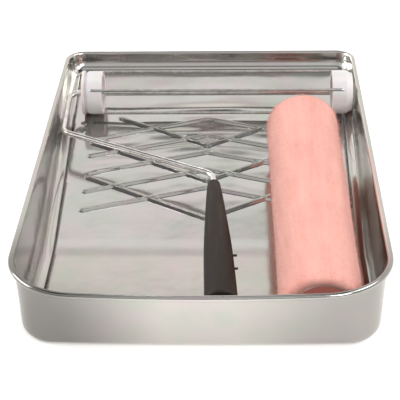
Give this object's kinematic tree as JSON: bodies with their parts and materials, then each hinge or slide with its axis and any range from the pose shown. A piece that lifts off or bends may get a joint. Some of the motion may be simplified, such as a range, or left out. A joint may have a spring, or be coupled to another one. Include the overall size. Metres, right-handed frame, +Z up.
{
  "type": "paint roller tray",
  "caption": "Pressed steel paint tray with a deep well, ribbed ramp and rolled rim, holding a wire cage roller frame and a pink nap roller cover that lift out.",
  "frame": {"origin": "under the middle of the tray, on the surface that the tray stands on", "axes": "+Z up, +Y along the tray from the deep well to the shallow end, +X to the right seen from the well"},
  "size_m": [0.265, 0.3979, 0.0781],
  "materials": {
    "tinplate": "bright tinplate, mirror-like, slightly wavy",
    "leg_steel": "plain plated sheet steel",
    "rivet_steel": "satin plated steel",
    "plated_rod": "bright zinc plating",
    "plated_small": "bright zinc plating",
    "plated_wire": "bright zinc plating",
    "black_plastic": "satin black moulded plastic",
    "white_plastic": "milky white moulded plastic",
    "nylon": "natural nylon",
    "core_board": "dark red-brown core tube",
    "pink_nap": "pale pink woven pile"
  },
  "bodies": {
    "tray": {"tray_pan": "tinplate", "leg_left": "leg_steel", "leg_right": "leg_steel", "leg_rivets_left": "rivet_steel", "leg_rivets_right": "rivet_steel"},
    "roller_frame": {"frame_rod": "plated_rod", "handle_grip": "black_plastic", "washer_inner": "plated_small", "washer_outer": "plated_small", "push_nut": "plated_small"},
    "cage": {"cap_inner": "white_plastic", "cap_outer": "white_plastic", "bush_inner": "nylon", "bush_outer": "nylon", "cage_wire_1": "plated_wire", "cage_wire_2": "plated_wire", "cage_wire_3": "plated_wire", "cage_wire_4": "plated_wire"},
    "roller_cover": {"cover_core": "core_board", "cover_nap": "pink_nap"}
  },
  "joints": [
    {"name": "frame_lift", "type": "slide", "parent": "tray", "child": "roller_frame", "axis": [0, 0, 1], "range_m": [0, 0.12]},
    {"name": "cage_spin", "type": "hinge", "parent": "roller_frame", "child": "cage", "pos_m": [0, 0.1214, 0.0485], "axis": [1, 0, 0], "continuous": true},
    {"name": "cover_lift", "type": "slide", "parent": "tray", "child": "roller_cover", "axis": [0, 0, 1], "range_m": [0, 0.12]}
  ]
}
